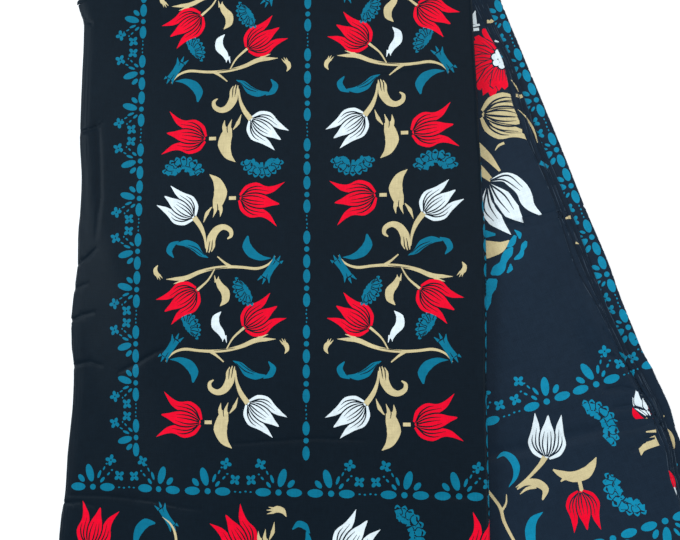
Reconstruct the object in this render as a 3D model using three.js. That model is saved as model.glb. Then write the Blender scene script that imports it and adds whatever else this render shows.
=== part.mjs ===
// A length of printed cotton, folded into a flat band, then folded once more at the top so that its
// two legs lie fanned on a table: the front leg runs straight down and the back leg, under it, swings
// out to the right. Millimetres, +Z up. Seen from above, +X is right and +Y is towards the fold.

import * as THREE from 'three';

// ---- Driving dimensions -------------------------------------------------------------------------

const CLOTH_WIDTH = 1143;                  // loom width, selvedge to selvedge
const FOLDS_ACROSS = 3;
const CLOTH_LENGTH = 5486;                 // six yards
const LENGTHS_STACKED = 8;                 // four in each leg

const LEG_WIDTH = CLOTH_WIDTH / FOLDS_ACROSS;
const LEG_LENGTH = CLOTH_LENGTH / LENGTHS_STACKED;

const GAP = 0.3;                           // clearance between layers that lie on each other
const SHEET = 1.2;                         // wall of the outer sheets
const LAYER = 1.1;                         // each layer that shows at the back leg's staggered edge
const LAYER_COUNT = 5;                     // staggered layers between the lowest and the top sheet

const LEG_HEIGHT = 2 * SHEET + LAYER_COUNT * LAYER + (LAYER_COUNT + 1) * GAP;
const FRONT_RISE = LEG_HEIGHT + GAP;       // how high the front leg is lifted by the back leg
const TURN_RADIUS = (2 * LEG_HEIGHT + GAP) / 2;

const FAN_ANGLE = THREE.MathUtils.degToRad(19.7);
const BACK_ALONG = new THREE.Vector2(Math.sin(FAN_ANGLE), -Math.cos(FAN_ANGLE));
const BACK_ACROSS = new THREE.Vector2(Math.cos(FAN_ANGLE), Math.sin(FAN_ANGLE));

// The outermost points of the top fold, before the whole cloth is centred.
const FOLD_LEFT = new THREE.Vector2(-256, 268);
const FOLD_RIGHT = new THREE.Vector2(117, 330);
const FOLD_DIRECTION = FOLD_RIGHT.clone().sub(FOLD_LEFT).normalize();
const FOLD_OUTWARD = new THREE.Vector2(-FOLD_DIRECTION.y, FOLD_DIRECTION.x);

const FRONT_END_Y = (FOLD_LEFT.y + FOLD_RIGHT.y) / 2 - LEG_LENGTH;
const BACK_RIGHT_ACROSS = 220;             // the lowest sheet's right edge, across the back leg
const BACK_LEFT_ACROSS = BACK_RIGHT_ACROSS - LEG_WIDTH;
const BACK_END_ALONG = 381;                // keeps both legs' long edges equal to the cut length
const BACK_NECK = { narrower: 11, from: -300, to: -150 };   // drawn in at the left, just under the fold

const RAMP_START = -90;                    // the front leg leaves the table here, measured across from
const RAMP_END = -30;                      // the back leg's left edge, and is at full height here

const LEFT_ROLL = 13;                      // soft rolled fold on the front leg's left edge
const RIGHT_ROLL = 4;                      // pressed fold on its right edge
const LEFT_RETURN = 3;                     // how far the outer sheet runs on under the leg at its left
const RIGHT_RETURN = 42;                   // and at its right

// The front leg's long edges wander a little. y is the place along it, left and right its edges.
const FRONT_EDGES = [
  { y: 330, left: -256.0, right: 117.0 },
  { y: 262, left: -254.5, right: 119.0 },
  { y: 236, left: -247.5, right: 120.5 },
  { y: 133, left: -248.5, right: 123.8 },
  { y: 88, left: -246.0, right: 126.0 },
  { y: 16, left: -250.0, right: 129.0 },
  { y: -44, left: -255.3, right: 128.0 },
  { y: -100, left: -251.0, right: 127.0 },
  { y: -190, left: -256.0, right: 127.8 },
  { y: -245, left: -260.5, right: 127.5 },
  { y: -388, left: -259.0, right: 126.0 },
];

// The back leg's staggered layers, lowest first. edge is the right edge across the leg, sway how far
// it wanders, wave how long one swing is, start where the swing begins, end how far the end is drawn in.
const BACK_LAYERS = [
  { name: 'back_layer_6', edge: 206.0, sway: 0.9, wave: 210, start: 0.2, end: 2 },
  { name: 'back_layer_5', edge: 203.6, sway: 1.2, wave: 260, start: 0.7, end: 5 },
  { name: 'back_layer_4', edge: 201.0, sway: 0.9, wave: 190, start: 0.1, end: 3 },
  { name: 'back_layer_3', edge: 198.8, sway: 1.2, wave: 240, start: 0.5, end: 6 },
  { name: 'back_layer_2', edge: 196.4, sway: 1.2, wave: 170, start: 0.8, end: 4 },
];
const BACK_TOP_EDGE = { edge: 193.5, sway: 1.6, wave: 150, start: 0.35, end: 7 };

// Where the back leg's upper layers part and puff up beside its right edge.
const PUFF = { along: 128, across: 196, half_length: 62, half_width: 26, height: 4.5 };

const COLORS = { navy: 0x11131f, layers: 0x161a2a };

// ---- Small tools --------------------------------------------------------------------------------

const lerp = THREE.MathUtils.lerp;
const smoothstep = THREE.MathUtils.smoothstep;

function spread(first, last, count) {
  return Array.from({ length: count }, (_, i) => lerp(first, last, i / (count - 1)));
}

// Reads a column of a table at a place between its rows, easing from one row to the next.
function readTable(table, key, place, column) {
  const next = table.findIndex((row) => row[key] <= place);
  if (next === 0) return table[0][column];
  if (next === -1) return table[table.length - 1][column];
  const above = table[next - 1];
  const below = table[next];
  const share = (above[key] - place) / (above[key] - below[key]);
  return lerp(above[column], below[column], share * share * (3 - 2 * share));
}

// A closed wall from rows of points. Each row has an outer path and an inner path of equal length.
function wallSolid(rows) {
  const width = rows[0].outer.length;
  const positions = [];
  rows.forEach((row) => {
    [...row.outer, ...row.inner].forEach((p) => positions.push(p.x, p.y, p.z));
  });
  const outer = (r, i) => r * 2 * width + i;
  const inner = (r, i) => r * 2 * width + width + i;
  const index = [];
  const quad = (a, b, c, d) => index.push(a, b, c, a, c, d);
  const last = rows.length - 1;
  for (let r = 0; r < last; r += 1) {
    for (let i = 0; i < width - 1; i += 1) {
      quad(outer(r, i), outer(r + 1, i), outer(r + 1, i + 1), outer(r, i + 1));
      quad(inner(r, i), inner(r, i + 1), inner(r + 1, i + 1), inner(r + 1, i));
    }
    quad(outer(r, 0), inner(r, 0), inner(r + 1, 0), outer(r + 1, 0));
    quad(outer(r, width - 1), outer(r + 1, width - 1), inner(r + 1, width - 1), inner(r, width - 1));
  }
  for (let i = 0; i < width - 1; i += 1) {
    quad(outer(0, i), outer(0, i + 1), inner(0, i + 1), inner(0, i));
    quad(outer(last, i), inner(last, i), inner(last, i + 1), outer(last, i + 1));
  }
  const geometry = new THREE.BufferGeometry();
  geometry.setAttribute('position', new THREE.Float32BufferAttribute(positions, 3));
  geometry.setIndex(index);
  geometry.computeVertexNormals();
  return geometry;
}

function piece(name, geometry, color) {
  const material = new THREE.MeshStandardMaterial({ color, roughness: 0.7, metalness: 0 });
  const mesh = new THREE.Mesh(geometry, material);
  mesh.name = name;
  return mesh;
}

// Moves each point of an open (x, z) path to its right-hand side by a distance.
function offsetPath(path, distance) {
  return path.map((point, i) => {
    const before = path[Math.max(i - 1, 0)];
    const after = path[Math.min(i + 1, path.length - 1)];
    const along = new THREE.Vector2().subVectors(after, before).normalize();
    return new THREE.Vector2(point.x + along.y * distance, point.y - along.x * distance);
  });
}

// ---- The front leg ------------------------------------------------------------------------------

// Height of what the front leg lies on: the table at its lower left, the back leg elsewhere.
function frontBase(x, y) {
  const acrossBack = x * BACK_ACROSS.x + y * BACK_ACROSS.y - BACK_LEFT_ACROSS;
  return FRONT_RISE * smoothstep(acrossBack, RAMP_START, RAMP_END);
}

// The fold's axis lies one radius inside its outermost line.
const AXIS_LEFT = FOLD_LEFT.clone().addScaledVector(FOLD_OUTWARD, -TURN_RADIUS);
const AXIS_RIGHT = FOLD_RIGHT.clone().addScaledVector(FOLD_OUTWARD, -TURN_RADIUS);

function axisY(x) {
  return lerp(AXIS_LEFT.y, AXIS_RIGHT.y, (x - AXIS_LEFT.x) / (AXIS_RIGHT.x - AXIS_LEFT.x));
}

const FRONT_ROWS = 25;
const FRONT_COLUMNS = 15;
const ROLL_STEPS = 5;

// Rows start along the slanting fold and turn square to the leg at its end.
function frontRowY(share, x, endY) {
  return lerp(axisY(x) - GAP, endY, share);
}

function frontEdges(share) {
  return {
    left: readTable(FRONT_EDGES, 'y', frontRowY(share, FOLD_LEFT.x, FRONT_END_Y), 'left'),
    right: readTable(FRONT_EDGES, 'y', frontRowY(share, FOLD_RIGHT.x, FRONT_END_Y), 'right'),
  };
}

// Places across the leg between its rolled edges. The sheet and the layers inside it share them.
function frontColumns(edges) {
  const low = edges.left + LEFT_ROLL;
  const high = edges.right - RIGHT_ROLL;
  return [...spread(low, high - RIGHT_RETURN, FRONT_COLUMNS), high - RIGHT_RETURN / 2, high];
}

// The section of the outer sheet: turned under, round the left fold, across, round the right fold.
function frontSection(edges) {
  const half = LEG_HEIGHT / 2;
  const columns = frontColumns(edges);
  const low = columns[0];
  const high = columns[columns.length - 1];
  const path = [new THREE.Vector2(low + LEFT_RETURN, 0)];
  for (const turn of spread(-0.5, -1.5, ROLL_STEPS)) {
    path.push(new THREE.Vector2(
      low + LEFT_ROLL * Math.cos(turn * Math.PI),
      half + half * Math.sin(turn * Math.PI),
    ));
  }
  columns.slice(1, -1).forEach((x) => path.push(new THREE.Vector2(x, LEG_HEIGHT)));
  for (const turn of spread(0.5, -0.5, ROLL_STEPS)) {
    path.push(new THREE.Vector2(
      high + RIGHT_ROLL * Math.cos(turn * Math.PI),
      half + half * Math.sin(turn * Math.PI),
    ));
  }
  path.push(new THREE.Vector2(high - RIGHT_RETURN, 0));
  return path;
}

function placeFront(path, share, endY) {
  return path.map((point) => {
    const y = frontRowY(share, point.x, endY);
    return new THREE.Vector3(point.x, y, point.y + frontBase(point.x, y));
  });
}

function frontTopSheet() {
  const rows = spread(0, 1, FRONT_ROWS).map((share) => {
    const path = frontSection(frontEdges(share));
    return {
      outer: placeFront(path, share, FRONT_END_Y),
      inner: placeFront(offsetPath(path, SHEET), share, FRONT_END_Y),
    };
  });
  return piece('front_top_sheet', wallSolid(rows), COLORS.navy);
}

// The folded layers inside the outer sheet: one solid with rounded sides and a stepped end.
// short is how far a step stops before the outer sheet does, height its share of the full height.
const INNER_HEIGHT = 0.95;
const INNER_STEPS = [
  { short: 12, height: 0.94 },
  { short: 11.8, height: 0.7 },
  { short: 8, height: 0.68 },
  { short: 7.8, height: 0.44 },
  { short: 4, height: 0.42 },
];

// At each side the layers round off: inset from the edge, and the share of the height kept there.
const INNER_SIDES = [
  { inset: 3.8, top: 0.60, lift: 2.2 },
  { inset: 7.6, top: 0.80, lift: 1.2 },
];
const INNER_RIGHT_SIDE = { inset: 2.0, top: 0.66, lift: 2.0 };

function innerSection(edges, height) {
  const floor = SHEET + GAP;
  const full = (LEG_HEIGHT - 2 * floor) * height;
  const columns = frontColumns(edges);
  const underStart = columns[0] + LEFT_RETURN + GAP;
  const underEnd = columns[columns.length - 1] - RIGHT_RETURN - GAP;
  const upper = [];
  const lower = [];
  const add = (x, top, bottom) => {
    upper.push(new THREE.Vector2(x, floor + full * top));
    lower.push(new THREE.Vector2(x, bottom));
  };
  INNER_SIDES.forEach((side) => add(edges.left + side.inset, side.top, floor + side.lift));
  add(columns[0], 1, floor);
  add(underStart, 1, floor);
  add(underStart + GAP, 1, 0);
  columns.slice(1, FRONT_COLUMNS - 1).forEach((x) => add(x, 1, 0));
  add(underEnd - GAP, 1, 0);
  add(underEnd, 1, floor);
  columns.slice(FRONT_COLUMNS - 1, -1).forEach((x) => add(x, 1, floor));
  add(columns[columns.length - 1] - GAP, 0.96, floor + GAP);
  add(edges.right - INNER_RIGHT_SIDE.inset, INNER_RIGHT_SIDE.top, floor + INNER_RIGHT_SIDE.lift);
  return { upper, lower };
}

function frontInnerLayers() {
  const rows = [];
  const addRow = (share, height, endY) => {
    const section = innerSection(frontEdges(share), height);
    rows.push({
      outer: placeFront(section.upper, share, endY),
      inner: placeFront(section.lower, share, endY),
    });
  };
  spread(0, 1, FRONT_ROWS).slice(0, -1).forEach((share) => addRow(share, INNER_HEIGHT, FRONT_END_Y));
  INNER_STEPS.forEach((step) => addRow(1, step.height, FRONT_END_Y + step.short));
  return piece('front_inner_layers', wallSolid(rows), COLORS.layers);
}

// ---- The back leg -------------------------------------------------------------------------------

const BACK_ROWS = 16;
const BACK_COLUMNS = { left: 4, right: 7 };   // closer together near the right edge, where it puffs up
const BACK_MIDDLE = 0.62;                     // share of the width where the columns get closer

function backPoint(across, along, z) {
  return new THREE.Vector3(
    BACK_ACROSS.x * across + BACK_ALONG.x * along,
    BACK_ACROSS.y * across + BACK_ALONG.y * along,
    z,
  );
}

// Where the back leg starts under the fold, at a place across it.
function backStart(across) {
  const left = { across: AXIS_LEFT.dot(BACK_ACROSS), along: AXIS_LEFT.dot(BACK_ALONG) };
  const right = { across: AXIS_RIGHT.dot(BACK_ACROSS), along: AXIS_RIGHT.dot(BACK_ALONG) };
  return GAP + lerp(left.along, right.along, (across - left.across) / (right.across - left.across));
}

// Upper layers ride over the puffed stretch; the lowest ones stay flat.
function puffLift(across, along, share) {
  const far = Math.hypot((across - PUFF.across) / PUFF.half_width, (along - PUFF.along) / PUFF.half_length);
  return PUFF.height * share * (1 - smoothstep(far, 0, 1));
}

function backLeftEdge(along) {
  return BACK_LEFT_ACROSS + BACK_NECK.narrower * (1 - smoothstep(along, BACK_NECK.from, BACK_NECK.to));
}

function backLayer(name, shape, bottom, thickness, liftShare, color) {
  const rows = spread(0, 1, BACK_ROWS).map((share) => {
    const alongMiddle = lerp(backStart(0), BACK_END_ALONG - shape.end, share);
    const swing = Math.sin((alongMiddle / shape.wave + shape.start) * 2 * Math.PI);
    const right = shape.edge + shape.sway * swing;
    const left = backLeftEdge(alongMiddle) + shape.end + shape.sway * swing;
    const middle = lerp(left, right, BACK_MIDDLE);
    const across = [
      ...spread(left, middle, BACK_COLUMNS.left).slice(0, -1),
      ...spread(middle, right, BACK_COLUMNS.right),
    ];
    const place = (n, height) => {
      const along = lerp(backStart(n), BACK_END_ALONG - shape.end, share);
      return backPoint(n, along, bottom + height + puffLift(n, along, liftShare));
    };
    return {
      outer: across.map((n) => place(n, thickness)),
      inner: across.map((n) => place(n, 0)),
    };
  });
  return piece(name, wallSolid(rows), color);
}

function backLeg() {
  const pieces = [];
  const lowest = { edge: BACK_RIGHT_ACROSS, sway: 0, wave: 200, start: 0, end: 0 };
  pieces.push(backLayer('back_lowest_sheet', lowest, 0, SHEET, 0, COLORS.navy));
  BACK_LAYERS.forEach((layer, i) => {
    const bottom = SHEET + GAP + i * (LAYER + GAP);
    pieces.push(backLayer(layer.name, layer, bottom, LAYER, (i + 1) / (LAYER_COUNT + 1), COLORS.layers));
  });
  const topBottom = LEG_HEIGHT - SHEET;
  pieces.push(backLayer('back_top_sheet', BACK_TOP_EDGE, topBottom, SHEET, 1, COLORS.navy));
  return pieces;
}

// ---- The top fold -------------------------------------------------------------------------------

const TURN_STEPS = 11;
const TURN_ROWS = 7;
const TURN_END = { share: 0.04, fullness: 0.72 };   // length of each drawn-in end, and its least fullness
const CORE_REACH = 0.94;                            // how much of the turn's height its core fills

// The turn is fullest in the middle and draws in softly at both ends of the fold.
function turnFullness(share) {
  const fromEnd = Math.min(share, 1 - share) / TURN_END.share;
  return fromEnd >= 1 ? 1 : lerp(TURN_END.fullness, 1, Math.sqrt(1 - (1 - fromEnd) ** 2));
}

function turnPoint(share, angle, radius) {
  const along = new THREE.Vector2().lerpVectors(AXIS_LEFT, AXIS_RIGHT, share);
  const out = radius * Math.cos(angle);
  return new THREE.Vector3(
    along.x + FOLD_OUTWARD.x * out,
    along.y + FOLD_OUTWARD.y * out,
    TURN_RADIUS + radius * Math.sin(angle),
  );
}

function turnShares() {
  const near = [0, 0.3, 1].map((step) => step * TURN_END.share);
  const far = near.map((share) => 1 - share).reverse();
  return [...near, ...spread(near[2], far[0], TURN_ROWS).slice(1, -1), ...far];
}

function topFoldTurn() {
  const angles = spread(Math.PI / 2, -Math.PI / 2, TURN_STEPS);
  const rows = turnShares().map((share) => {
    const radius = TURN_RADIUS * turnFullness(share);
    return {
      outer: angles.map((angle) => turnPoint(share, angle, radius)),
      inner: angles.map((angle) => turnPoint(share, angle, radius - SHEET)),
    };
  });
  return piece('top_fold_turn', wallSolid(rows), COLORS.navy);
}

function topFoldLayers() {
  const heights = spread(CORE_REACH, -CORE_REACH, TURN_STEPS);
  const rows = turnShares().map((share) => {
    const radius = TURN_RADIUS * turnFullness(share) - SHEET - GAP;
    return {
      outer: heights.map((sine) => turnPoint(share, Math.asin(sine), radius)),
      inner: heights.map((sine) => {
        const point = turnPoint(share, 0, GAP / 2);
        point.z = TURN_RADIUS + radius * sine;
        return point;
      }),
    };
  });
  return piece('top_fold_layers', wallSolid(rows), COLORS.layers);
}

// ---- The folded cloth, standing on the middle of its own footprint ----------------------------------

const cloth = new THREE.Group();
cloth.add(frontTopSheet(), frontInnerLayers(), ...backLeg(), topFoldTurn(), topFoldLayers());

const footprint = new THREE.Box3().setFromObject(cloth);
const centre = footprint.getCenter(new THREE.Vector3());
cloth.position.set(-centre.x, -centre.y, -footprint.min.z);

const part = new THREE.Group();
part.add(cloth);

export default part;
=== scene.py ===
import math
import bpy
import numpy as np
from mathutils import Matrix, Vector
from mathutils.geometry import delaunay_2d_cdt


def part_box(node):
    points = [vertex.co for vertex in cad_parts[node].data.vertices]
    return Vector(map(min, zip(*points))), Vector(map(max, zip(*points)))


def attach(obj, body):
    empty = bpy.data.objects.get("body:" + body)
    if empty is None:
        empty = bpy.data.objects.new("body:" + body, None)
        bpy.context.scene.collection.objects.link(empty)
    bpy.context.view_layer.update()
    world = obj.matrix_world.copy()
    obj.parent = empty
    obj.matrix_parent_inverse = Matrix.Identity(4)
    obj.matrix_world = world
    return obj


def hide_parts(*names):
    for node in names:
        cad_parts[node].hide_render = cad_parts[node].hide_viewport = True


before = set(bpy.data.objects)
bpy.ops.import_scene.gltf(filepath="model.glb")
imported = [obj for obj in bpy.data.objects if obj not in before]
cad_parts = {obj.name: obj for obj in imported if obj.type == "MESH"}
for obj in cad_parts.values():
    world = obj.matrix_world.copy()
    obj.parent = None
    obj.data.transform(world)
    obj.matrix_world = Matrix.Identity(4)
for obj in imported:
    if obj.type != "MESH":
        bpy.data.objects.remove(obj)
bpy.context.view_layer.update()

# ---- The tulips --------------------------------------------------------------------------------
# Printed tulips, each a cup of three long pointed petals with dark veins that fan out from its
# base. Wax print in flat colours, drawn here as outlines in millimetres that are later cut into
# the cloth. Every motif is a list of (ink, outline) pairs, and a later pair covers an earlier one.

# The fold highlight ink is no ink of the cloth: a paler ground painted along folds as a painted
# highlight on their rims.
GROUND, TEAL, RED, GOLD, WHITE, FOLD_HIGHLIGHT = "ground", "teal", "red", "gold", "white", "fold_highlight"


def between(before, start, end, after, share):
    """A place on the soft curve from start to end, whose bend also heeds the points around them."""
    return 0.5 * (2 * start + (end - before) * share
                  + (2 * before - 5 * start + 4 * end - after) * share ** 2
                  + (3 * start - before - 3 * end + after) * share ** 3)


def smooth_line(points, steps=5):
    """A soft curve through the given points."""
    points = np.asarray(points, float)
    if len(points) < 3:
        return np.array([points[0] + (points[-1] - points[0]) * i / 3 for i in range(4)])
    padded = np.vstack([2 * points[0] - points[1], points, 2 * points[-1] - points[-2]])
    shares = np.linspace(0, 1, steps, endpoint=False)
    line = [between(*padded[i:i + 4], share) for i in range(len(padded) - 3) for share in shares]
    return np.array(line + [points[-1]])


def blade(ink, spine, widths, steps=5):
    """A stroke along a spine. The widths are spaced evenly along it."""
    line = smooth_line(spine, steps)
    wide = np.interp(np.linspace(0, 1, len(line)), np.linspace(0, 1, len(widths)), widths)
    along = np.gradient(line, axis=0)
    along /= np.maximum(np.linalg.norm(along, axis=1), 1e-9)[:, None]
    side = np.column_stack([-along[:, 1], along[:, 0]]) * np.maximum(wide, 0.12)[:, None] / 2
    return ink, np.vstack([line + side, (line - side)[::-1]])


def strokes(*rows):
    """Several blades, each row an ink, a spine, its widths and, where it isn't 5, the steps."""
    return [blade(*row) for row in rows]


def oval(ink, x, y, length, width, tilt=0.0, corners=14):
    """An oval about a point, its length turned by tilt degrees from the x direction."""
    angle = np.linspace(0, 2 * math.pi, corners, endpoint=False)
    turn = math.radians(tilt)
    along = length / 2 * np.cos(angle)
    aside = width / 2 * np.sin(angle)
    return ink, np.column_stack([
        x + along * math.cos(turn) - aside * math.sin(turn),
        y + along * math.sin(turn) + aside * math.cos(turn),
    ])


def blob(ink, points):
    """A closed soft outline through the given points."""
    points = np.asarray(points, float)
    outline = []
    for i in range(len(points)):
        corners = np.roll(points, 1 - i, axis=0)[:4]
        outline += [between(*corners, share) for share in (0.0, 0.33, 0.67)]
    return ink, np.array(outline)


def placed(shapes, to=(0, 0), turn=0.0, mirror=False, scale=1.0, origin=(0, 0)):
    """The shapes moved so that origin comes to a place, turned round it, mirrored and scaled."""
    angle = math.radians(turn)
    cos, sin = math.cos(angle), math.sin(angle)
    result = []
    for ink, outline in shapes:
        x = (outline[:, 0] - origin[0]) * scale * (-1 if mirror else 1)
        y = (outline[:, 1] - origin[1]) * scale
        moved = [to[0] + x * cos - y * sin, to[1] + x * sin + y * cos]
        result.append((ink, np.column_stack(moved)))
    return result


def side_petal(ink, side, flare):
    """The outer petal at one side, bent outwards like an S. flare turns its tip out."""
    spine = [(-2.2, -0.5), (-8.4, 5), (-11.6, 12.5), (-10.4, 20.5)]
    spine += [(-9.8 - 2.6 * flare, 28.5), (-9.5 - 9.5 * flare, 38)]
    return blade(ink, [(x * side, y) for x, y in spine], [2.4, 8.0, 9.4, 8.0, 5.4, 0.2], 4)


def middle_petal(ink, grow=0.0):
    """The pointed petal in the middle, wider by grow where it is the dark gap round it."""
    half = [(0, 37 + grow), (-2.6 - grow, 30), (-5.4 - grow, 23), (-6.2 - grow, 16)]
    half += [(-4.8 - grow, 8), (-1.4, 0.4)]
    return blob(ink, half + [(-x, y) for x, y in half[:0:-1]])


def tulip(ink, flare=1.0):
    """A tulip standing on its base at the origin. flare is how far its outer petals turn out."""
    shapes = []
    for side in (1, -1):
        shapes.append(side_petal(ink, side, flare))
        for reach, top in ((12.8, 19), (9.8, 25)):
            vein = [(-1.6, 0.6), (-reach * 0.72, 6), (-reach, 13), (-reach + 0.2 - flare * 0.4, top)]
            vein = [(x * side, y) for x, y in vein]
            shapes.append(blade(GROUND, vein, [1.2, 1.3, 1.1, 0.3], 4))
    shapes.append(middle_petal(GROUND, 1.3))
    shapes.append(middle_petal(ink))
    shapes.append(blade(GROUND, [(0, 1), (0.7, 10), (0.3, 22)], [1.3, 1.2, 0.3], 3))
    for side in (1, -1):
        vein = [(-1.0 * side, 1.0), (-3.2 * side, 8), (-3.7 * side, 15), (-2.6 * side, 23)]
        shapes.append(blade(GROUND, vein, [1.3, 1.3, 1.0, 0.3], 4))
    return shapes


# ---- Leaves, stems, curls and ruffles ----------------------------------------------------------
# The small parts between the tulips: forked leaves and branches in gold, curled and torn leaves
# in teal, and the crackled teal ruffles. Same flat inks as the flowers.


def forked_leaf():
    """Crescent leaf with a forked top. Its lower tip is at (12, 5.5), its stalk runs from (-13, 28)."""
    return strokes(
        (GOLD, [(12, 5.5), (5, 12), (1.5, 22), (3.5, 31), (5.5, 38)], [0.4, 7.5, 12.4, 10.5, 6]),
        (GOLD, [(2.5, 33), (0.8, 39), (1.5, 45)], [4.5, 3.2, 0.3], 3),
        (GOLD, [(6, 34), (6, 39), (8.2, 45.5)], [5, 3, 0.3], 3),
        (GOLD, [(9.6, 36), (14, 42), (17, 50)], [0.8, 3.4, 0.3], 4),
        (GROUND, [(4.4, 33), (3.8, 37), (4.2, 42)], [0.5, 1.0, 0.5], 3),
        (GOLD, [(-13, 28), (-6.5, 28)], [3.2, 3.2]),
    )


def gold_curl():
    """Curled tendril with a fingered top at (10, 76) and its hook at (-7, 64)."""
    return strokes(
        (GOLD, [(10, 70), (9, 64), (4.5, 57), (-2, 54.5), (-8, 57.5), (-9, 62.5), (-5.5, 65.5)],
         [8, 8, 6.6, 5, 4.2, 3.2, 1.0]),
        (GOLD, [(7.4, 66), (7.2, 72), (9.2, 77)], [3, 2.6, 0.6], 3),
        (GOLD, [(10.6, 67), (10.4, 73), (11.6, 78)], [3, 2.6, 0.6], 3),
        (GOLD, [(13, 68), (13.2, 73), (13.6, 77.5)], [3, 2.4, 0.6], 3),
        (GROUND, [(8.9, 75), (8.6, 70), (8.2, 66)], [1.0, 0.9, 0.3], 3),
        (GROUND, [(12.0, 76), (11.4, 71), (10.6, 67)], [1.0, 0.9, 0.3], 3),
    )


def teal_curl():
    """Slit leaf that runs out from (12, 82) and a separate hook after it."""
    return strokes(
        (TEAL, [(12, 82.5), (19, 79), (25, 72.5), (33, 69), (42, 69.5)], [0.4, 4.6, 7.6, 6.4, 1.6]),
        (TEAL, [(40, 67), (46.2, 70.5), (48.6, 76), (44.5, 82)], [0.8, 5.6, 5.6, 0.8]),
        (GROUND, [(15, 80.4), (23, 73.6), (31, 70.6)], [0.5, 1.0, 0.4], 4),
        (GROUND, [(18, 80.8), (26, 75.0), (33, 71.6)], [0.4, 0.8, 0.3], 4),
    )


def branch():
    """Bent branch from (-50, 82) to a forked end at (51, 102), with a twig down and a stem up."""
    return strokes(
        (GOLD, [(-50, 82), (-43, 89.5), (-33, 92.8), (-20, 91.6), (-8, 91), (6, 92), (20, 95.5),
                (32, 100.5), (42, 101.5), (51, 101.8)],
         [0.3, 1.8, 2.5, 2.4, 2.7, 2.8, 3.5, 4.3, 3.2, 0.3]),
        (GOLD, [(30, 99), (37, 103.6), (44, 106)], [3.0, 2.6, 0.3], 4),
        (GOLD, [(-9, 91), (-3, 87), (3.5, 81.5)], [3.0, 2.0, 1.0], 4),
        (GROUND, [(-6, 91.4), (4, 92.6), (14, 94)], [0.3, 0.9, 0.3], 4),
        (GOLD, [(6, 93), (12, 103), (22, 112)], [1.0, 1.6, 2.4], 4),
    )


def torch():
    """Torn strip leaf from (-53, 83) to (-38, 106), split at both ends."""
    shapes = [blade(TEAL, [(-51, 86), (-46, 93), (-41, 101)], [7.4, 6.4, 7.6], 3)]
    for x, y, dx, dy in ((-54.5, 88, -2.6, -2.0), (-52, 86, -2.4, -4.4), (-48.5, 85, -0.6, -4.2),
                         (-44, 101, -0.4, 5.2), (-40.5, 102, 2.2, 5.0), (-38, 100, 4.2, 3.4)):
        shapes.append(blade(TEAL, [(x, y), (x + dx, y + dy)], [2.8, 0.5]))
    return shapes + strokes(
        (GROUND, [(-50, 86), (-47.5, 90)], [1.0, 0.3]),
        (GROUND, [(-41.5, 103), (-43, 98)], [1.0, 0.3]),
    )


def claw():
    """Small curled leaf with three fingers, between (54, 103) and (60, 87)."""
    return strokes(
        (GOLD, [(56.4, 100), (60.5, 96.5), (61.6, 91.5), (58.8, 86.5)], [4.2, 5.8, 4.8, 0.6], 4),
        (GOLD, [(56.6, 98), (52.5, 102.6)], [2.2, 0.4]),
        (GOLD, [(58, 99.4), (55.2, 104.4)], [2.2, 0.4]),
        (GOLD, [(60, 98.6), (58.4, 104)], [2.2, 0.4]),
    )


def small_leaf(ink):
    """Folded little leaf from its tip at (-1, 126) to a torn end at (4.5, 99)."""
    return strokes(
        (ink, [(0.5, 126.5), (-4.2, 121), (-4.2, 114), (0.6, 108), (3.4, 102)],
         [0.4, 6.6, 8.0, 6.0, 3.4], 4),
        (ink, [(3.0, 104), (2.2, 99.6)], [2.4, 0.4]),
        (ink, [(4.6, 105), (6.0, 98.6)], [2.4, 0.4]),
    )


def crescent():
    """Teal sickle leaf from (-46, 84) round to (-24, 63)."""
    spine = [(-46, 83.6), (-37, 83.2), (-28.5, 79), (-23.6, 72), (-24.4, 63)]
    return [blade(TEAL, spine, [0.4, 5.0, 8.6, 8.4, 1.4])]


def ruffle(seed, length=29.0, bow=12.0):
    """Crumpled ruffle standing on the origin: wavy bands joined by drips and cracked across."""
    def arch(share, offset):
        angle = math.pi * (0.03 + 0.94 * share)
        x, y = -math.cos(angle), math.sin(angle)
        return (x * (length / 2 + offset), y * (bow + offset))

    def band(start, end, offset, wave, widths):
        shares = np.linspace(start, end, 13)
        spine = [arch(share, offset + wave * math.sin(seed + 31 * share)) for share in shares]
        return blade(TEAL, spine, [widths[(i + seed) % len(widths)] for i in range(13)], 3)

    shapes = [band(0.0, 1.0, 0.6, 0.9, (3.4, 5.2, 4.2, 6.0, 3.8))]
    shapes.append(band(0.02, 0.42, -5.4, 0.8, (2.6, 4.4, 3.4)))
    shapes.append(band(0.55, 0.97, -5.2, 0.8, (3.0, 4.6, 2.8)))
    cracks = []
    for i in range(9):
        share = (i + 0.5) / 9
        wobble = math.sin(seed * 2.7 + i * 2.3)
        lean = 0.035 * wobble
        if i % 4 != 3:
            drip = [arch(share, -1), arch(share + lean, -7 - 1.6 * wobble)]
            shapes.append(blade(TEAL, drip, [3.8, 2.6]))
        rim = [arch(share - 0.045, 3.4), arch(share, 5.4), arch(share + 0.045, 3.6)]
        shapes.append(blade(TEAL, rim, [0.9, 2.0, 0.9], 3))
        edge = share + 0.055
        crack = [arch(edge, 3.6), arch(edge - lean, 0.4), arch(edge + 0.02, -2.6)]
        cross = [arch(share - 0.03, -3.4), arch(share + 0.03 + lean, -3.0)]
        cracks += strokes((GROUND, crack, [0.9, 0.7, 0.8], 3), (GROUND, cross, [0.7, 0.9]))
    return shapes + cracks


# ---- The column of sprays ----------------------------------------------------------------------
# A spray of tulips on a branch, printed upright and then turned round by half, over and over, up
# the cloth. The second column is its mirror image.

COLUMN_AXIS = -108.5
CENTRE_LINE = -30.0
COLUMN_START = 95.0
COLUMN_STEP = 258.0


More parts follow.
